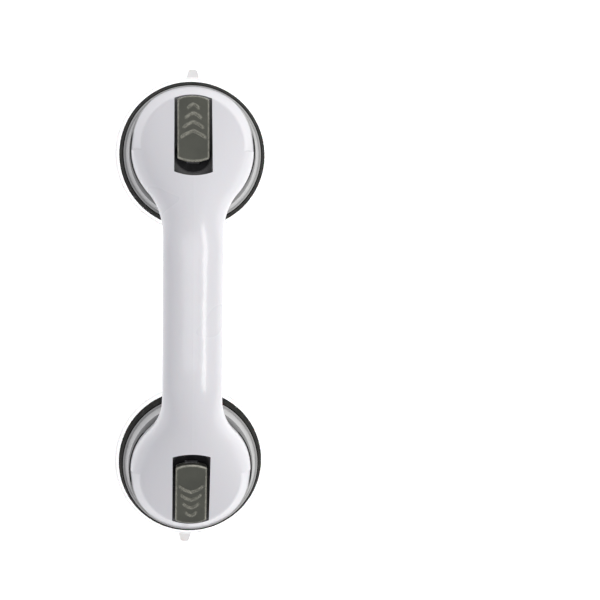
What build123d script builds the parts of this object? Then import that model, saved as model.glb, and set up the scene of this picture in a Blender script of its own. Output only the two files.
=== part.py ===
"""Suction grab bar: a hollow handle on two suction cups, each locked by a cam lever.

Millimetres. X runs along the handle, +Z points away from the wall that the cups hold to.
The origin is on the wall, midway between the cups. Right is +X.
"""

from build123d import *

import os
from math import cos, pi, radians, sin, sqrt, tan

# Overall sizes
cup_spacing = 204.5  # between the two cup axes
grip_width = 37.4
grip_thickness = 28.0
grip_top = 74.0  # crest of the grip above the wall
wall = 2.2  # of the handle moulding

# Domed end over each cup
dome_radius = 39.4  # lower edge of the dome, seen from above
dome_shift = 1.8  # dome's centre, outward from the cup's axis
dome_foot = 21.5  # lower edge of the dome above the wall
dome_crest = 45.1  # height of the crest over the cup's axis
crest_slope = 28.5  # degrees, fall of the crest towards the outer end
crest_bend = 80.0  # radius where the crest leaves the grip
flare_radius = 40.0  # fillet from the grip into the dome, seen from above
neck_reach = 62.0  # from the cup's axis to where the neck starts to drop
neck_settle = 4.0  # the seam reaches the dome's foot this far before the cup's axis
arch_radius = 24.5  # underside, from the grip down to the dome
arch_angle = 75.0  # degrees, steepest slope of the underside
arch_run = 14.0  # how far the underside falls at that slope
skirt_radius = 43.8  # outer end of the dome, where it comes down to the hood's lip
skirt_taper = 0.517  # inward per millimetre of height
skirt_reach = 36.0  # outward from the cup's axis to where the lower edge meets the lip
end_round = 4.0  # where the top turns down into the skirt
brow_start = 5.0  # the rounding starts this far outward from the cup's axis
end_margin = 4.0  # the form runs this far past the skirt before it is trimmed
section_count = 24  # evenly spaced cross-sections in each half

# Grip cover and its screws
cover_reach = 26.0  # from the cup's axis to the cover's end
cover_step = 4.0  # length of the short slope at the cover's end
cover_screw_x = 36.0
cover_boss = 5.2
cover_screw_bite = 7.0
rib_thickness = 1.6
rib_share = 0.6  # side ribs stand at this share of the grip's straight half

# Lever
lever_width = 20.3
lever_inner = 6.0  # inner end, from the pin
lever_outer = 36.7  # outer end, from the pin
lever_bow = 2.3  # rounding of both ends, seen from above
lever_corner = 1.5
lever_edge = 0.8
lever_slope = 22.0  # degrees, top face
lever_height = 8.7  # top face over the pin
lever_tip = 3.3  # thickness of the outer end
lever_wall = 2.2  # beside the hollow under the blade
hollow_start = 11.0  # from the pin
hollow_end = 33.0
cheek_foot = 1.0  # the inner end starts this far above the pin
toe_length = 9.5  # from the pin to where the blade's underside meets the cams
toe_drop = 4.6
heel_length = 6.6
heel_drop = 7.6
slot_gap = 1.85  # between the lever and the slot's sides
slot_inner = 14.5  # slot's inner end, from the cup's axis
slot_end_gap = 0.9  # beyond the lever's outer end
well_wall = 1.6  # wall round the slot, inside the dome
well_gap = 0.3  # between that wall and the hood

# Four raised chevrons on the lever
chevron_count = 4
chevron_first = 15.5  # first tip, along the top face from above the pin
chevron_pitch = 6.2
chevron_half = 7.6  # half width of the first
chevron_narrowing = 1.4
chevron_depth = 4.6  # from the tip back to the ends of the first
chevron_flattening = 0.6
chevron_bow = 0.5  # how far each leg bows outward
chevron_line = 1.1
chevron_rise = 0.4

# Cam, pin and stud
cam_high = 9.0  # cam radius when locked
cam_travel = 3.0  # how far the stud moves
cam_overrun = 3.0  # degrees of cam beyond the lever's travel
lever_travel = 85.0  # degrees
cam_gap = 0.1  # between cam and wear washer
pin_radius = 2.5
pin_inset = 0.35  # of each pin end in the lever's side
pin_chamfer = 0.4
pin_gap = 0.05  # pin in the stud's eye
eye_radius = 6.5
eye_gap = 0.4  # round the eye, in the lever
cheek_gap = 0.3  # beside the eye, in the lever
stud_radius = 4.0
stud_gap = 0.06  # stud in the hood's guide
foot_radius = 13.0
foot_thickness = 2.4
collar_height = 1.6
washer_radius = 11.5
washer_thickness = 1.0
washer_gap = 0.4

# Hood and soft ring
hood_top = 23.0
hood_plate = 3.0
hood_radius = 44.0  # inside the soft ring
hood_clearance = 0.3  # between the hood and the inside of the dome
lip_radius = 44.6
lip_width = 1.3
lip_top = 12.7
lip_thickness = 0.6
hood_taper = 0.3  # outer face, inward per millimetre of height
bowl_radius = 40.4  # inside of the hood
bowl_taper = 0.517
guide_radius = 7.5
guide_drop = 6.0  # guide sleeve below the plate
hood_rib_count = 8
hood_rib_start = 15.0
hood_rib_end = 36.3
hood_rib_depth = 4.0
ring_radius = 47.75
ring_taper = 2.4  # the ring's top is this much smaller
ring_foot = 3.1
ring_edge = 0.8
ring_sole = 1.5
part_gap = 0.1  # between pieces that lie on each other
seam_gap = 0.5  # shadow line under the dome
groove_width = 0.9  # of the groove in the hood, round the dome
groove_depth = 1.6
groove_reach = 31.0  # outward from the cup's axis to where the groove ends

# Suction disc
disc_radius = 50.5
disc_thickness = 3.0
disc_edge = 0.9
disc_bevel = 2.15  # width of the slope at the edge
seal_radius = 42.0  # the disc lies flat outside this
seal_slope = 2.0
foot_cover = 2.0  # disc under the stud's foot
boss_radius = 16.0
boss_cap = 0.9  # disc over the stud's foot
boss_slope = 1.0
boss_skirt = 1.4
collar_gap = 0.2
tab_reach = 56.0
tab_root = 8.8
tab_tip = 5.9
tab_corner = 1.0
tab_thickness = 1.2
tab_turn = 3.8  # degrees, how far the left disc is turned

# Spring and hood screws
spring_radius = 10.5
spring_wire = 0.6
spring_turns = 4
screw_radius = 1.45
screw_head = 3.0
screw_head_height = 2.0
screw_bite = 4.5
screw_hole_gap = 0.3
recess_length = 3.6
recess_width = 0.8
recess_depth = 1.0
screw_ring = 29.0  # hood screws, from the cup's axis
screw_angle = 55.0  # degrees from the handle's axis
screw_boss = 3.6

# Worked out from the sizes above
standing = (Align.CENTER, Align.CENTER, Align.MIN)
hanging = (Align.CENTER, Align.CENTER, Align.MAX)
before = (Align.MAX, Align.CENTER, Align.MIN)
cup_x = cup_spacing / 2
dome_x = cup_x + dome_shift
grip_middle = grip_top - grip_thickness / 2
grip_bottom = grip_top - grip_thickness
neck_x = cup_x - neck_reach
lip_foot = lip_top - lip_thickness
ring_top = lip_foot - part_gap
sole_top = ring_foot + ring_sole
plate_foot = hood_top - hood_plate
pin_z = hood_top + washer_thickness + cam_gap + cam_high
cam_low = cam_high - cam_travel
cam_rate = cam_travel / radians(lever_travel)
disc_dome = cam_travel  # the locked disc is lifted by the cam's travel
foot_z = disc_dome + foot_cover + part_gap
seat_top = foot_z + foot_thickness + part_gap
boss_top = seat_top + boss_cap
cover_seat = grip_bottom + wall + screw_head_height
slot_half = lever_width / 2 + slot_gap
slot_outer = lever_outer + slot_end_gap
screw_turns = (-screw_angle, screw_angle, 180 - screw_angle, screw_angle - 180)
screw_angles = [radians(turn) for turn in screw_turns]
screw_places = [(screw_ring * cos(angle), screw_ring * sin(angle)) for angle in screw_angles]
right_cup = Plane((cup_x, 0, 0))
right_section = Plane.XZ.shift_origin((cup_x, 0, 0))
right_axis = Axis((cup_x, 0, 0), (0, 0, 1))


def crest_height(x):
    """Height of the handle's top line."""
    slope = radians(crest_slope)
    bend_end = cup_x - (grip_top - crest_bend * (1 - cos(slope)) - dome_crest) / tan(slope)
    bend_start = bend_end - crest_bend * sin(slope)
    if x <= bend_start:
        return grip_top
    if x <= bend_end:
        return grip_top - crest_bend + sqrt(crest_bend**2 - (x - bend_start) ** 2)
    return dome_crest + (cup_x - x) * tan(slope)


def half_width(x):
    """Half of the handle's width: the grip, a fillet, then the dome's circle."""
    grip = grip_width / 2
    centre_y = grip + flare_radius
    reach = sqrt((dome_radius + flare_radius) ** 2 - centre_y**2)
    touch_x = dome_x - reach * dome_radius / (dome_radius + flare_radius)
    if x <= dome_x - reach:
        return grip
    if x <= touch_x:
        return centre_y - sqrt(flare_radius**2 - (x - dome_x + reach) ** 2)
    return sqrt(dome_radius**2 - min(x - dome_x, 0) ** 2)


def seam_height(x):
    """Height of the widest line, where the two mouldings meet."""
    if x <= neck_x:
        return grip_middle
    if x <= cup_x:
        share = min((x - neck_x) / (neck_reach - neck_settle), 1)
        return dome_foot + (grip_middle - dome_foot) * (1 + cos(pi * share)) / 2
    share = min((x - cup_x) / skirt_reach, 1)
    return lip_top + (dome_foot - lip_top) * cos(pi / 2 * share)


def under_depth(x):
    """Depth of the underside below the widest line."""
    steep = radians(arch_angle)
    arch_end = neck_x + arch_radius * sin(steep)
    if x <= neck_x:
        return grip_thickness / 2
    if x <= arch_end:
        return seam_height(x) - grip_bottom + arch_radius - sqrt(arch_radius**2 - (x - neck_x) ** 2)
    lowest_x = min(x, arch_end + arch_run)
    bottom = grip_bottom - arch_radius * (1 - cos(steep)) - (lowest_x - arch_end) * tan(steep)
    return seam_height(lowest_x) - bottom


def end_trim(inset):
    """Envelope that gives the right outer end its conical skirt."""
    height = grip_top - lip_top
    foot = skirt_radius - inset
    with BuildPart() as trim:
        with Locations((cup_x, 0, lip_top)):
            Cone(foot, foot - skirt_taper * height, height, align=standing)
        with Locations((0, 0, lip_top)):
            Box(2 * dome_x, 2 * disc_radius, height + end_margin, align=standing)
    return trim.part


def handle_form(inset, rounding):
    """Right half of the handle, every face but the middle one moved in by inset, its brow rounded."""
    trim = end_trim(inset)
    far = cup_x + skirt_radius + end_margin
    with BuildPart() as form:
        for x in [far * i / section_count for i in range(section_count + 1)]:
            across = half_width(x) - inset
            above = crest_height(x) - seam_height(x) - inset
            below = under_depth(x) - inset
            with BuildSketch(Plane.YZ.offset(x)):
                with BuildLine():
                    centre = (0, seam_height(x))
                    EllipticalCenterArc(centre, across, above, start_angle=0, arc_size=90)
                    EllipticalCenterArc(centre, across, above, start_angle=90, arc_size=90)
                    EllipticalCenterArc(centre, across, below, start_angle=180, arc_size=90)
                    EllipticalCenterArc(centre, across, below, start_angle=270, arc_size=90)
                make_face()
        loft()
        add(trim, mode=Mode.INTERSECT)
        end_edges = form.edges().filter_by(lambda e: e.center().X > cup_x + brow_start)
        brow = end_edges.filter_by(lambda e: e.center().Z > dome_foot and abs(e.center().Y) > 1)
        if rounding > 0:
            fillet(brow, rounding)
    return form.part


def upper_region(drop):
    """Everything above the seam and the dome's lower edge, both lowered by drop."""
    cover_end = cup_x - cover_reach
    seam_end = cover_end + cover_step
    far = cup_x + 2 * disc_radius
    seam_x = [neck_x + (cover_end - neck_x) * i / 5 for i in range(6)]
    skirt_x = [cup_x + skirt_reach * i / 4 for i in range(5)]
    with BuildPart() as region:
        with BuildSketch(Plane.XZ):
            with BuildLine():
                for side in (-1, 1):
                    Line((0, grip_middle - drop), (side * neck_x, grip_middle - drop))
                    Spline([(side * x, seam_height(x) - drop) for x in seam_x])
                    step_top = (side * cover_end, seam_height(cover_end) - drop)
                    Line(step_top, (side * seam_end, dome_foot - drop))
                    Line((side * seam_end, dome_foot - drop), (side * cup_x, dome_foot - drop))
                    Spline([(side * x, seam_height(x) - drop) for x in skirt_x])
                    Line((side * skirt_x[-1], lip_top - drop), (side * far, lip_top - drop))
                    Line((side * far, lip_top - drop), (side * far, 2 * grip_top))
                Line((-far, 2 * grip_top), (far, 2 * grip_top))
            make_face()
        extrude(amount=2 * disc_radius, both=True)
    return region.part


def lever_outline(inner, outer, half, foot, top):
    """Upright block with the lever's outline seen from above, bowed at both ends."""
    with BuildPart() as block:
        with BuildSketch(right_cup.offset(foot)):
            with BuildLine():
                ThreePointArc((lever_bow - inner, half), (-inner, 0), (lever_bow - inner, -half))
                Line((lever_bow - inner, -half), (outer - lever_bow, -half))
                ThreePointArc((outer - lever_bow, -half), (outer, 0), (outer - lever_bow, half))
                Line((outer - lever_bow, half), (lever_bow - inner, half))
            make_face()
        extrude(amount=top - foot)
    return block.part


def screw(x, y, seat, reach):
    """Self-tapping screw put in from below, its head against seat, with a cross recess."""
    with BuildPart() as one:
        with Locations((x, y, seat)):
            Cylinder(screw_head, screw_head_height, align=hanging)
            Cylinder(screw_radius, reach, align=standing)
        with Locations((x, y, seat - screw_head_height)):
            Box(recess_length, recess_width, recess_depth, align=standing, mode=Mode.SUBTRACT)
            Box(recess_width, recess_length, recess_depth, align=standing, mode=Mode.SUBTRACT)
    return one.part


def mirrored(part):
    """The same piece at the other cup."""
    with BuildPart() as other:
        mirror(part, about=Plane.YZ)
    return other.part


def save(part, name):
    """Writes one named piece."""
    part.label = name
    export_step(part, f"parts/{name}.step")


def save_pair(part, name):
    """Writes the right piece and its mirror image."""
    save(part, f"{name}_right")
    save(mirrored(part), f"{name}_left")


os.makedirs("parts", exist_ok=True)

# Handle: a hollow body of two mouldings, stiffened by ribs, with bosses for the screws.
# The right half is made first, and then mirrored.
outer_form = handle_form(0, end_round)
inner_form = handle_form(wall, 0)
slot_block = lever_outline(slot_inner, slot_outer, slot_half, hood_top, grip_top)
well_outer = slot_outer + well_wall
well_inner = slot_inner + well_wall
well_half = slot_half + well_wall
well_block = lever_outline(well_inner, well_outer, well_half, hood_top + well_gap, grip_top)
above_seam = upper_region(0)
above_cover = upper_region(part_gap)

with BuildPart() as cavity:
    add(inner_form)
    with Locations((0, 0, grip_middle), (neck_x * rib_share, 0, grip_middle)):
        Box(rib_thickness, grip_width, grip_thickness, mode=Mode.SUBTRACT)
    add(well_block, mode=Mode.SUBTRACT)
    with BuildSketch(right_cup.offset(hood_top)):
        with Locations(*screw_places):
            Circle(screw_boss)
    extrude(amount=grip_top, mode=Mode.SUBTRACT)
    with Locations((cover_screw_x, 0, 0)):
        Cylinder(cover_boss, grip_top, align=standing, mode=Mode.SUBTRACT)

with BuildPart() as skin:
    add(outer_form)
    add(cavity.part, mode=Mode.SUBTRACT)
    add(slot_block, mode=Mode.SUBTRACT)

with BuildPart() as handle_shell:
    add(skin.part)
    add(above_seam, mode=Mode.INTERSECT)
    with BuildSketch(right_cup):
        with Locations(*screw_places):
            Circle(screw_radius + pin_gap)
    extrude(amount=hood_top + screw_bite + screw_hole_gap, mode=Mode.SUBTRACT)
    with Locations((cover_screw_x, 0, 0)):
        depth = grip_middle + cover_screw_bite + screw_hole_gap
        Cylinder(screw_radius + pin_gap, depth, align=standing, mode=Mode.SUBTRACT)
    mirror(about=Plane.YZ)
save(handle_shell.part, "handle_shell")

with BuildPart() as grip_cover:
    add(skin.part)
    add(above_cover, mode=Mode.SUBTRACT)
    with Locations((0, 0, dome_foot)):
        cover_span = 2 * (cup_x - cover_reach + cover_step + 1)
        Box(cover_span, 2 * disc_radius, grip_top, align=standing, mode=Mode.INTERSECT)
    with Locations((cover_screw_x, 0, 0)):
        Cylinder(screw_radius + screw_hole_gap, grip_top, align=standing, mode=Mode.SUBTRACT)
        Cylinder(screw_head + screw_hole_gap, cover_seat, align=standing, mode=Mode.SUBTRACT)
    mirror(about=Plane.YZ)
save(grip_cover.part, "grip_cover")

# Hood: a bowl that presses on the disc's rim and guides the stud
above_hood = upper_region(seam_gap)
hood_limit = handle_form(wall + hood_clearance, 0)

with BuildPart() as skirt_zone:
    add(above_hood)
    with Locations((0, 0, dome_foot - seam_gap)):
        Box(2 * cup_x, 2 * disc_radius, hood_top, align=standing)
    with Locations((cup_x, 0, 0)):
        Cylinder(disc_radius, 2 * hood_top, align=standing, mode=Mode.INTERSECT)
    add(hood_limit, mode=Mode.SUBTRACT)

# a narrow groove round the dome, which reads as a dark line
above_groove = upper_region(seam_gap + groove_depth)
groove_outer = handle_form(-groove_width, end_round + groove_width)
groove_inner = handle_form(hood_clearance, end_round - hood_clearance)

with BuildPart() as groove:
    add(groove_outer)
    add(above_groove, mode=Mode.INTERSECT)
    with Locations((cup_x + groove_reach, 0, 0)):
        Box(2 * disc_radius, 2 * disc_radius, grip_top, align=before, mode=Mode.INTERSECT)
    add(groove_inner, mode=Mode.SUBTRACT)

with BuildPart() as hood:
    shoulder = lip_radius - lip_width
    with BuildSketch(right_section):
        with BuildLine():
            Polyline(
                (0, hood_top),
                (shoulder - hood_taper * (hood_top - lip_top), hood_top),
                (shoulder, lip_top),
                (lip_radius, lip_top),
                (lip_radius, lip_foot),
                (hood_radius, lip_foot),
                (hood_radius, sole_top + part_gap),
                (bowl_radius, sole_top + part_gap),
                (bowl_radius, lip_foot),
                (bowl_radius - bowl_taper * (plate_foot - lip_foot), plate_foot),
                (guide_radius, plate_foot),
                (guide_radius, plate_foot - guide_drop),
                (0, plate_foot - guide_drop),
                close=True,
            )
        make_face()
    revolve(axis=right_axis)
    # ribs under the plate
    with BuildSketch(right_cup.offset(plate_foot)):
        with PolarLocations((hood_rib_start + hood_rib_end) / 2, hood_rib_count):
            Rectangle(hood_rib_end - hood_rib_start, rib_thickness)
    extrude(amount=-hood_rib_depth)
    # guide bore and screw holes
    with Locations((cup_x, 0, 0)):
        Cylinder(stud_radius + stud_gap, 2 * hood_top, align=standing, mode=Mode.SUBTRACT)
    with BuildSketch(right_cup):
        with Locations(*screw_places):
            Circle(screw_radius + screw_hole_gap)
    extrude(amount=2 * hood_top, mode=Mode.SUBTRACT)
    # room for the dome's skirt, which hangs outside the hood
    add(skirt_zone.part, mode=Mode.SUBTRACT)
    add(groove.part, mode=Mode.SUBTRACT)
save_pair(hood.part, "hood")

# Soft ring outside the hood
with BuildPart() as skirt_ring:
    with BuildSketch(right_section):
        with BuildLine():
            Polyline(
                (ring_radius, ring_foot),
                (ring_radius, ring_foot + ring_edge),
                (ring_radius - ring_taper, ring_top),
                (hood_radius + part_gap, ring_top),
                (hood_radius + part_gap, sole_top),
                (bowl_radius, sole_top),
                (bowl_radius, ring_foot),
                close=True,
            )
        make_face()
    revolve(axis=right_axis)
save_pair(skirt_ring.part, "skirt_ring")


def suction_disc(turn):
    """Disc at the right cup, lifted in the middle as when locked, with its tab turned by turn degrees."""
    collar = 2 * stud_radius + collar_gap
    with BuildPart() as disc:
        with BuildSketch(right_section):
            with BuildLine():
                Polyline(
                    (0, disc_dome),
                    (foot_radius, disc_dome),
                    (seal_radius, 0),
                    (disc_radius, 0),
                    (disc_radius, disc_edge),
                    (disc_radius - disc_bevel, disc_thickness),
                    (seal_radius - seal_slope, disc_thickness),
                    (boss_radius + boss_slope, foot_z + boss_skirt),
                    (boss_radius, boss_top),
                    (collar, boss_top),
                    (collar, seat_top),
                    (foot_radius + part_gap, seat_top),
                    (foot_radius + part_gap, foot_z - part_gap),
                    (0, foot_z - part_gap),
                    close=True,
                )
            make_face()
        revolve(axis=right_axis)
        with BuildSketch(right_cup.rotated((0, 0, turn))):
            with BuildLine():
                Polyline(
                    (disc_radius - 1, -tab_root / 2),
                    (tab_reach - tab_corner, -tab_tip / 2),
                    (tab_reach, tab_corner - tab_tip / 2),
                    (tab_reach, tab_tip / 2 - tab_corner),
                    (tab_reach - tab_corner, tab_tip / 2),
                    (disc_radius - 1, tab_root / 2),
                    close=True,
                )
            make_face()
        extrude(amount=tab_thickness)
    return disc.part


save(suction_disc(0), "suction_disc_right")
save(mirrored(suction_disc(tab_turn)), "suction_disc_left")

# Stud with its eye
with BuildPart() as stud:
    with Locations((cup_x, 0, foot_z)):
        Cylinder(foot_radius, foot_thickness, align=standing)
        Cylinder(2 * stud_radius, foot_thickness + collar_height, align=standing)
        Cylinder(stud_radius, pin_z - foot_z, align=standing)
    with Locations(Plane((cup_x, 0, pin_z), z_dir=(0, 1, 0))):
        Cylinder(eye_radius, 2 * stud_radius)
        Cylinder(pin_radius + pin_gap, 4 * stud_radius, mode=Mode.SUBTRACT)
save_pair(stud.part, "stud")

# Lever: involute cams, so the gap to the washer stays the same all the way
slope = radians(lever_slope)
blade = lever_outline(lever_inner, lever_outer, lever_width / 2, pin_z + cheek_foot, grip_top)
cheeks = lever_outline(0, lever_outer, lever_width / 2, 0, pin_z + cheek_foot)
lever_plane = Plane((cup_x, 0, pin_z), x_dir=(1, 0, 0), z_dir=(0, -1, 0))
top_normal = (sin(slope), 0, cos(slope))
top_plane = Plane((cup_x, 0, pin_z + lever_height), (cos(slope), 0, -sin(slope)), top_normal)


def blade_top(x):
    """Height of the lever's sloping top over the pin."""
    return lever_height - x * tan(slope)


def cam_point(angle):
    """Point of the cam where it touches when the lever is lifted by angle radians."""
    radius = cam_high - cam_rate * angle
    return (cam_rate * cos(angle) - radius * sin(angle), -cam_rate * sin(angle) - radius * cos(angle))


with BuildPart() as lever_envelope:
    add(blade)
    add(cheeks)

with BuildPart() as lever:
    cam_points = [cam_point(radians(lever_travel + cam_overrun) * i / 6) for i in range(7)]
    tip_foot = blade_top(lever_outer) - lever_tip
    with BuildSketch(lever_plane):
        with BuildLine():
            Spline(cam_points)
            Polyline(
                cam_points[-1],
                (-cam_low, 0),
                (-cam_low, cheek_foot),
                (-cam_high, cheek_foot),
                (-cam_high, blade_top(-cam_high)),
                (lever_outer + 1, blade_top(lever_outer + 1)),
                (lever_outer + 1, tip_foot),
                (lever_outer, tip_foot),
                (toe_length, -toe_drop),
            )
            ThreePointArc((toe_length, -toe_drop), (heel_length, -heel_drop), cam_points[0])
        make_face()
    extrude(amount=lever_width / 2, both=True)
    add(lever_envelope.part, mode=Mode.INTERSECT)
    # rounded corners and top edges
    upright = lever.edges().filter_by(Axis.Z)
    fillet(upright.filter_by(lambda e: e.length > lever_edge + cheek_foot), lever_corner)
    top_face = lever.faces().filter_by(lambda f: abs(f.normal_at().Z - cos(slope)) < 0.01)
    fillet(top_face.edges(), lever_edge)
    # gap for the stud and its eye
    with BuildSketch(lever_plane):
        Circle(eye_radius + eye_gap)
        with Locations((-stud_radius, -stud_radius)):
            Rectangle(4 * stud_radius + 2 * cheek_gap, 4 * stud_radius + 2 * cheek_gap)
    extrude(amount=stud_radius + cheek_gap, both=True, mode=Mode.SUBTRACT)
    # hollow under the blade
    with BuildSketch(lever_plane):
        with BuildLine():
            Polyline(
                (hollow_start, blade_top(hollow_start) - lever_wall),
                (hollow_end, blade_top(hollow_end) - lever_wall),
                (hollow_end, -2 * cam_high),
                (hollow_start, -2 * cam_high),
                close=True,
            )
        make_face()
    extrude(amount=lever_width / 2 - lever_wall, both=True, mode=Mode.SUBTRACT)
    # hole for the pin
    with Locations(Plane((cup_x, 0, pin_z), z_dir=(0, 1, 0))):
        Cylinder(pin_radius, 2 * lever_width, mode=Mode.SUBTRACT)
    # raised chevrons that point to the outer end
    with BuildSketch(top_plane):
        for i in range(chevron_count):
            tip = chevron_first + chevron_pitch * i
            half = chevron_half - chevron_narrowing * i
            ends = tip - chevron_depth + chevron_flattening * i
            middle = (tip + ends) / 2 + chevron_bow
            with BuildLine():
                for back in (0, chevron_line):
                    for side in (-1, 1):
                        elbow = (middle - back, side * half / 2)
                        ThreePointArc((ends - back, side * half), elbow, (tip - back, 0))
                for side in (-1, 1):
                    Line((ends, side * half), (ends - chevron_line, side * half))
            make_face()
    extrude(amount=chevron_rise)
save_pair(lever.part, "lever")

# Pin, wear washer and spring
with BuildPart() as pivot_pin:
    with Locations(Plane((cup_x, 0, pin_z), z_dir=(0, 1, 0))):
        Cylinder(pin_radius, lever_width - 2 * pin_inset)
    chamfer(pivot_pin.edges().filter_by(GeomType.CIRCLE), pin_chamfer)
save_pair(pivot_pin.part, "pivot_pin")

with BuildPart() as cam_washer:
    with Locations((cup_x, 0, hood_top)):
        Cylinder(washer_radius, washer_thickness, align=standing)
        Hole(stud_radius + washer_gap)
save_pair(cam_washer.part, "cam_washer")

with BuildPart() as return_spring:
    spring_foot = boss_top + spring_wire
    spring_length = plate_foot - spring_wire - spring_foot
    with BuildLine() as coil:
        Helix(
            pitch=spring_length / spring_turns,
            height=spring_length,
            radius=spring_radius,
            center=(cup_x, 0, spring_foot),
        )
    with BuildSketch(Plane(coil.line @ 0, z_dir=coil.line % 0)):
        Circle(spring_wire)
    sweep(path=coil.line, is_frenet=True)
save_pair(return_spring.part, "return_spring")

# Screws
hood_screw_parts = [screw(cup_x + x, y, plate_foot, hood_plate + screw_bite) for x, y in screw_places]
cover_screw_length = grip_middle + cover_screw_bite - cover_seat
cover_screw_parts = [screw(x, 0, cover_seat, cover_screw_length) for x in (-cover_screw_x, cover_screw_x)]

with BuildPart() as hood_screws:
    add(hood_screw_parts)
save_pair(hood_screws.part, "hood_screws")

with BuildPart() as cover_screws:
    add(cover_screw_parts)
save(cover_screws.part, "cover_screws")
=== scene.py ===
import math

import bpy
from mathutils import Matrix, Vector


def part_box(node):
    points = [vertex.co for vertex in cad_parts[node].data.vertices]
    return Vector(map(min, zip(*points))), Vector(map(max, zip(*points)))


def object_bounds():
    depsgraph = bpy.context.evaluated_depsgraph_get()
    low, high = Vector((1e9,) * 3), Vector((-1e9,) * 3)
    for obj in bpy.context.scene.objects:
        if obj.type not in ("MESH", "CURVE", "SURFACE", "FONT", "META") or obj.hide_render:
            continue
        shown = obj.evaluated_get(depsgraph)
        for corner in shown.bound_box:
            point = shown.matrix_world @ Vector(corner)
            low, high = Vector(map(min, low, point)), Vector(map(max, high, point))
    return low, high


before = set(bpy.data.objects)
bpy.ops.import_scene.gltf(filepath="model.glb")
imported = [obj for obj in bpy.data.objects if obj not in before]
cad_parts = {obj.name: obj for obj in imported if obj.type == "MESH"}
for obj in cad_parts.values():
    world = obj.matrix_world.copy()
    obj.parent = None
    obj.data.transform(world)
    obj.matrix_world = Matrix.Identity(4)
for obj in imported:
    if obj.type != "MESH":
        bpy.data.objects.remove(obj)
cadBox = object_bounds()
mm = 0.001

# both cups are found from the wear washers, which sit on the cup axes
washerLow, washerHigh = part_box("cam_washer_right")
cupX = (washerLow[0] + washerHigh[0]) / 2
print("frame loaded, cups at", round(cupX, 4), "m from the middle")


def newMaterial(name):
    material = bpy.data.materials.new(name)
    material.use_nodes = True
    tree = material.node_tree
    return material, tree, tree.nodes["Principled BSDF"]


def setShader(shader, values):
    for key, value in values.items():
        shader.inputs[key].default_value = value


def addNode(tree, kind, **inputs):
    # inputs are named with the socket's name, a value or another node's output
    node = tree.nodes.new(kind)
    for key, value in inputs.items():
        socket = node.inputs[key.replace("_", " ")]
        if isinstance(value, bpy.types.NodeSocket):
            tree.links.new(value, socket)
        else:
            socket.default_value = value
    return node


def objectPlace(tree):
    return tree.nodes.new("ShaderNodeTexCoord").outputs["Object"]


def noise(tree, scale, detail=2.0, stretch=None):
    place = objectPlace(tree)
    if stretch:
        place = addNode(tree, "ShaderNodeMapping", Vector=place, Scale=stretch).outputs["Vector"]
    return addNode(tree, "ShaderNodeTexNoise", Vector=place, Scale=scale, Detail=detail).outputs["Fac"]


def ramp(tree, factor, stops):
    node = addNode(tree, "ShaderNodeValToRGB", Fac=factor)
    band = node.color_ramp
    while len(band.elements) < len(stops):
        band.elements.new(0.5)
    for element, (place, color) in zip(band.elements, stops):
        element.position = place
        element.color = color if len(color) == 4 else (*color, 1)
    return node.outputs["Color"]


def grey(level):
    return (level, level, level, 1)


def setRoughness(tree, shader, pattern, levels, ends=(0.3, 0.7)):
    tone = ramp(tree, pattern, [(end, grey(level)) for end, level in zip(ends, levels)])
    tree.links.new(tone, shader.inputs["Roughness"])


def bumpFrom(tree, height, distance, strength=1.0, below=None):
    node = addNode(tree, "ShaderNodeBump", Height=height, Distance=distance, Strength=strength)
    if below:
        tree.links.new(below, node.inputs["Normal"])
    return node.outputs["Normal"]


def edgeMask(tree, radius):
    # 1 on flat faces and less on edges, from how far a bevelled normal leans from the true one
    true = tree.nodes.new("ShaderNodeNewGeometry").outputs["Normal"]
    soft = addNode(tree, "ShaderNodeBevel", Radius=radius).outputs["Normal"]
    lean = tree.nodes.new("ShaderNodeVectorMath")
    lean.operation = "DOT_PRODUCT"
    tree.links.new(true, lean.inputs[0])
    tree.links.new(soft, lean.inputs[1])
    return lean.outputs["Value"]


def paintedGapShade(tree, reach, stops):
    # painted shade: dark in narrow gaps, 1 in the open
    node = tree.nodes.new("ShaderNodeAmbientOcclusion")
    node.samples = 8
    node.inputs["Distance"].default_value = reach
    return ramp(tree, node.outputs["AO"], stops)


def multiply(tree, first, second):
    node = tree.nodes.new("ShaderNodeMix")
    node.data_type = "RGBA"
    node.blend_type = "MULTIPLY"
    node.inputs[0].default_value = 1
    tree.links.new(first, node.inputs[6])
    tree.links.new(second, node.inputs[7])
    return node.outputs[2]


def mathNode(tree, operation, first, second=0.0):
    node = tree.nodes.new("ShaderNodeMath")
    node.operation = operation
    for socket, value in zip(node.inputs, (first, second)):
        if isinstance(value, bpy.types.NodeSocket):
            tree.links.new(value, socket)
        else:
            socket.default_value = value
    return node.outputs["Value"]


def cupDistance(tree):
    # metres from the nearer cup's axis
    apart = addNode(tree, "ShaderNodeSeparateXYZ", Vector=objectPlace(tree))
    along = mathNode(tree, "SUBTRACT", mathNode(tree, "ABSOLUTE", apart.outputs["X"]), cupX)
    alongSquare = mathNode(tree, "POWER", along, 2)
    acrossSquare = mathNode(tree, "POWER", apart.outputs["Y"], 2)
    return mathNode(tree, "SQRT", mathNode(tree, "ADD", alongSquare, acrossSquare))


# glossy white moulding
whiteLook = dict(
    light=(0.725, 0.72, 0.745),
    dark=(0.715, 0.71, 0.737),
    patchScale=9.0,
    creviceReach=0.006,
    shader={
        "Coat Weight": 0.35,
        "Coat Roughness": 0.06,
        "Subsurface Weight": 0.04,
        "Subsurface Scale": 0.003,
    },
    roughness=(0.26, 0.31),
    orangePeel=0.00002,
    peelScale=900.0,
    sinkDepth=0.00002,
)


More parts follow.
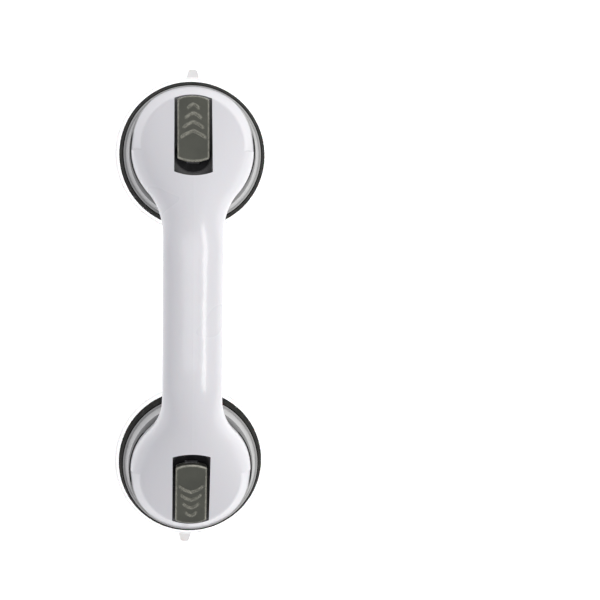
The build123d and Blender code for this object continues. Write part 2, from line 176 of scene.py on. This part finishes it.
def makeWhite(look):
    material, tree, shader = newMaterial("glossWhite")
    setShader(shader, look["shader"])
    patches = noise(tree, look["patchScale"], 3)
    tone = ramp(tree, patches, [(0.2, look["dark"]), (0.8, look["light"])])
    # painted shade in the slot, along the shell's lower edge and in other narrow gaps
    shade = paintedGapShade(tree, look["creviceReach"], [(0.25, grey(0.10)), (0.75, grey(1))])
    tree.links.new(multiply(tree, tone, shade), shader.inputs["Base Color"])
    setRoughness(tree, shader, noise(tree, 18.0, 1), look["roughness"], (0.1, 0.9))
    # faint shrink marks of a thick moulding, then a fine orange peel
    sink = bumpFrom(tree, noise(tree, 26.0, 1), look["sinkDepth"])
    peel = bumpFrom(tree, noise(tree, look["peelScale"], 1), look["orangePeel"], 0.6, sink)
    tree.links.new(peel, shader.inputs["Normal"])
    return material


# satin grey of the hoods
greyLook = dict(
    light=(0.54, 0.54, 0.535),
    dark=(0.49, 0.49, 0.485),
    shader={"Specular IOR Level": 0.5},
    roughness=(0.34, 0.46),
    creviceReach=0.010,
    grainScale=1600.0,
    grainDepth=0.00003,
)


def makeGrey(look):
    material, tree, shader = newMaterial("satinGrey")
    setShader(shader, look["shader"])
    tone = ramp(tree, noise(tree, 35.0, 4), [(0.35, look["dark"]), (0.65, look["light"])])
    # painted shade in the well under the lever and in the groove round the dome
    shade = paintedGapShade(tree, look["creviceReach"], [(0.30, grey(0.05)), (0.62, grey(0.5)), (0.85, grey(1))])
    tree.links.new(multiply(tree, tone, shade), shader.inputs["Base Color"])
    setRoughness(tree, shader, noise(tree, 90.0, 3), look["roughness"])
    grain = bumpFrom(tree, noise(tree, look["grainScale"], 2), look["grainDepth"])
    tree.links.new(grain, shader.inputs["Normal"])
    return material


# dark soft ring
ringLook = dict(
    light=(0.017, 0.017, 0.014),
    dark=(0.009, 0.009, 0.008),
    shader={"Specular IOR Level": 0.12},
    roughness=(0.70, 0.85),
    grainScale=2200.0,
    grainDepth=0.00004,
)


def makeRing(look):
    material, tree, shader = newMaterial("softRubber")
    setShader(shader, look["shader"])
    tone = ramp(tree, noise(tree, 120.0, 5), [(0.35, look["dark"]), (0.7, look["light"])])
    tree.links.new(tone, shader.inputs["Base Color"])
    setRoughness(tree, shader, noise(tree, 300.0, 3), look["roughness"])
    grain = bumpFrom(tree, noise(tree, look["grainScale"], 2), look["grainDepth"])
    tree.links.new(grain, shader.inputs["Normal"])
    return material


# milky, slightly clear disc
discLook = dict(
    light=(0.97, 0.97, 0.965),
    dark=(0.93, 0.935, 0.94),
    shader={
        "Transmission Weight": 0.72,
        "IOR": 1.25,
        "Subsurface Weight": 0.3,
        "Subsurface Scale": 0.004,
    },
    roughness=(0.30, 0.46),
    rippleDepth=0.0001,
    glow=0.12,
    rim=0.0505,
    rampReach=1.25,
    rimTones=((0.775, 1), (0.79, 0.72), (0.80, 0.85), (0.81, 0.62)),
)


def makeDisc(look):
    material, tree, shader = newMaterial("milkyDisc")
    setShader(shader, look["shader"])
    # the disc glows faintly, painted light that keeps it white
    setShader(shader, {"Emission Color": (1, 1, 1, 1), "Emission Strength": look["glow"]})
    tone = ramp(tree, noise(tree, 45.0, 4), [(0.3, look["dark"]), (0.7, look["light"])])
    # the rim's edge and the tab beyond it are painted greyer, a painted shade that outlines them
    reach = mathNode(tree, "DIVIDE", cupDistance(tree), look["rim"] * look["rampReach"])
    paintedRimShade = ramp(tree, reach, [(place, grey(level)) for place, level in look["rimTones"]])
    tree.links.new(multiply(tree, tone, paintedRimShade), shader.inputs["Base Color"])
    setRoughness(tree, shader, noise(tree, 70.0, 3), look["roughness"])
    tree.links.new(bumpFrom(tree, noise(tree, 55.0, 2), look["rippleDepth"]), shader.inputs["Normal"])
    return material


# olive grey levers, with a painted highlight along their edges
leverLook = dict(
    light=(0.082, 0.084, 0.066),
    dark=(0.066, 0.068, 0.054),
    worn=(0.52, 0.51, 0.43),
    edgeWidth=0.0016,
    shader={"Specular IOR Level": 0.5, "Coat Weight": 0.08, "Coat Roughness": 0.25},
    roughness=(0.36, 0.50),
    creviceReach=0.004,
    grainScale=1500.0,
    grainDepth=0.00004,
)


def makeLever(look):
    material, tree, shader = newMaterial("oliveSatin")
    setShader(shader, look["shader"])
    tone = ramp(tree, noise(tree, 70.0, 4), [(0.35, look["dark"]), (0.65, look["light"])])
    # a painted highlight on the edges, broken up by a finer noise
    edge = ramp(tree, edgeMask(tree, look["edgeWidth"]), [(0.95, grey(1)), (0.995, grey(0))])
    broken = ramp(tree, noise(tree, 420.0, 3), [(0.30, grey(0.45)), (0.6, grey(1))])
    edgeHighlightMask = tree.nodes.new("ShaderNodeMath")
    edgeHighlightMask.operation = "MULTIPLY"
    tree.links.new(edge, edgeHighlightMask.inputs[0])
    tree.links.new(broken, edgeHighlightMask.inputs[1])
    mix = tree.nodes.new("ShaderNodeMix")
    mix.data_type = "RGBA"
    tree.links.new(edgeHighlightMask.outputs["Value"], mix.inputs[0])
    tree.links.new(tone, mix.inputs[6])
    mix.inputs[7].default_value = (*look["worn"], 1)
    # painted shade where the lever sits close to the slot walls
    shade = paintedGapShade(tree, look["creviceReach"], [(0.30, grey(0.08)), (0.6, grey(1))])
    tree.links.new(multiply(tree, mix.outputs[2], shade), shader.inputs["Base Color"])
    setRoughness(tree, shader, noise(tree, 110.0, 3), look["roughness"])
    grain = bumpFrom(tree, noise(tree, look["grainScale"], 2), look["grainDepth"])
    tree.links.new(grain, shader.inputs["Normal"])
    return material


# dark nylon of the wear washers, kept this dark also as painted shade for the well under each lever
washerLook = dict(
    light=(0.030, 0.030, 0.032),
    dark=(0.016, 0.016, 0.018),
    shader={"Specular IOR Level": 0.3},
    roughness=(0.5, 0.7),
)


def makeWasher(look):
    material, tree, shader = newMaterial("darkNylon")
    setShader(shader, look["shader"])
    tone = ramp(tree, noise(tree, 250.0, 3), [(0.3, look["dark"]), (0.7, look["light"])])
    tree.links.new(tone, shader.inputs["Base Color"])
    setRoughness(tree, shader, noise(tree, 400.0, 3), look["roughness"])
    tree.links.new(bumpFrom(tree, noise(tree, 900.0, 2), 0.00003), shader.inputs["Normal"])
    return material


# plated steel, and the duller die-cast studs
steelLook = dict(
    name="platedSteel",
    light=(0.66, 0.66, 0.67),
    dark=(0.50, 0.50, 0.51),
    roughness=(0.20, 0.36),
    stretch=(60.0, 60.0, 1400.0),
    scratchDepth=0.000012,
)
castLook = dict(
    name="castMetal",
    light=(0.52, 0.52, 0.53),
    dark=(0.36, 0.36, 0.37),
    roughness=(0.38, 0.56),
    stretch=(700.0, 700.0, 700.0),
    scratchDepth=0.00004,
)


def makeMetal(look):
    material, tree, shader = newMaterial(look["name"])
    setShader(shader, {"Metallic": 1.0})
    marks = noise(tree, 1.0, 3, look["stretch"])
    tone = ramp(tree, marks, [(0.3, look["dark"]), (0.7, look["light"])])
    tree.links.new(tone, shader.inputs["Base Color"])
    setRoughness(tree, shader, marks, look["roughness"])
    tree.links.new(bumpFrom(tree, marks, look["scratchDepth"]), shader.inputs["Normal"])
    return material


white = makeWhite(whiteLook)
steel = makeMetal(steelLook)
finishes = dict(
    handle_shell=white,
    grip_cover=white,
    hood=makeGrey(greyLook),
    skirt_ring=makeRing(ringLook),
    suction_disc=makeDisc(discLook),
    lever=makeLever(leverLook),
    cam_washer=makeWasher(washerLook),
    stud=makeMetal(castLook),
)
for name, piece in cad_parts.items():
    finish = finishes.get(name.replace("_left", "").replace("_right", ""), steel)
    for slot in piece.material_slots:
        slot.material = finish
print("finishes on", len(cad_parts), "pieces")

# pale floor
floorLook = dict(
    light=(0.90, 0.90, 0.90),
    dark=(0.88, 0.88, 0.88),
    roughness=0.6,
    glow=0.62,
    reach=6.0,
    drop=0.0002,
)


def makeFloor(look):
    mesh = bpy.data.meshes.new("floor")
    r = look["reach"]
    mesh.from_pydata([(-r, -r, 0), (r, -r, 0), (r, r, 0), (-r, r, 0)], [], [(0, 1, 2, 3)])
    floor = bpy.data.objects.new("floor", mesh)
    bpy.context.scene.collection.objects.link(floor)
    floor.location.z = cadBox[0][2] - look["drop"]
    material, tree, shader = newMaterial("paleFloor")
    tone = ramp(tree, noise(tree, 3.0, 2), [(0.3, look["dark"]), (0.7, look["light"])])
    tree.links.new(tone, shader.inputs["Base Color"])
    setShader(shader, {"Roughness": look["roughness"]})
    setShader(shader, {"Emission Color": (1, 1, 1, 1), "Emission Strength": look["glow"]})
    mesh.materials.append(material)


makeFloor(floorLook)

# soft studio: pale sky, a strip light along the handle, a wide light overhead
skyLook = dict(color=(0.93, 0.93, 1.0), strength=0.36)


def makeSky(look):
    world = bpy.data.worlds.new("studio")
    bpy.context.scene.world = world
    world.use_nodes = True
    background = world.node_tree.nodes["Background"]
    background.inputs["Color"].default_value = (*look["color"], 1)
    background.inputs["Strength"].default_value = look["strength"]


makeSky(skyLook)

lightLook = [
    dict(
        name="strip",
        place=(0.1, -0.75, 1.15),
        aim=(0, 0, 0.03),
        size=(1.9, 0.30),
        power=11,
        color=(1, 0.99, 0.96),
    ),
    dict(name="overhead", place=(0.3, 0.25, 1.8), aim=(0, 0, 0), size=(1.5, 1.5), power=9, color=(1, 1, 1)),
]


def addSoftbox(look):
    light = bpy.data.lights.new(look["name"], "AREA")
    light.shape = "RECTANGLE"
    light.size, light.size_y = look["size"]
    light.energy = look["power"]
    light.color = look["color"]
    box = bpy.data.objects.new(look["name"], light)
    place = Vector(look["place"])
    back = (place - Vector(look["aim"])).normalized()
    across = Vector((1, 0, 0)) - back * back.x
    across.normalize()
    turn = Matrix((across, back.cross(across), back)).transposed().to_4x4()
    box.matrix_world = Matrix.Translation(place) @ turn
    bpy.context.scene.collection.objects.link(box)


for look in lightLook:
    addSoftbox(look)

cameraLook = dict(place=(69.8, 13.5, 793.5), aim=(6.67, -72.71, 4.0), roll=0.79, lens=71.08)


def makeCamera(look):
    camera = bpy.data.cameras.new("camera")
    camera.lens = look["lens"]
    camera.sensor_width = 36
    camera.clip_end = 50
    body = bpy.data.objects.new("camera", camera)
    place = Vector(look["place"]) * mm
    back = (place - Vector(look["aim"]) * mm).normalized()
    right = Vector((1, 0, 0)).cross(back).normalized()
    up = back.cross(right)
    turn = Matrix((right, up, back)).transposed().to_4x4()
    roll = Matrix.Rotation(math.radians(look["roll"]), 4, "Z")
    body.matrix_world = Matrix.Translation(place) @ turn @ roll
    bpy.context.scene.collection.objects.link(body)
    bpy.context.scene.camera = body


makeCamera(cameraLook)
bpy.context.scene.view_settings.view_transform = "Standard"
print("floor, lights and camera placed")
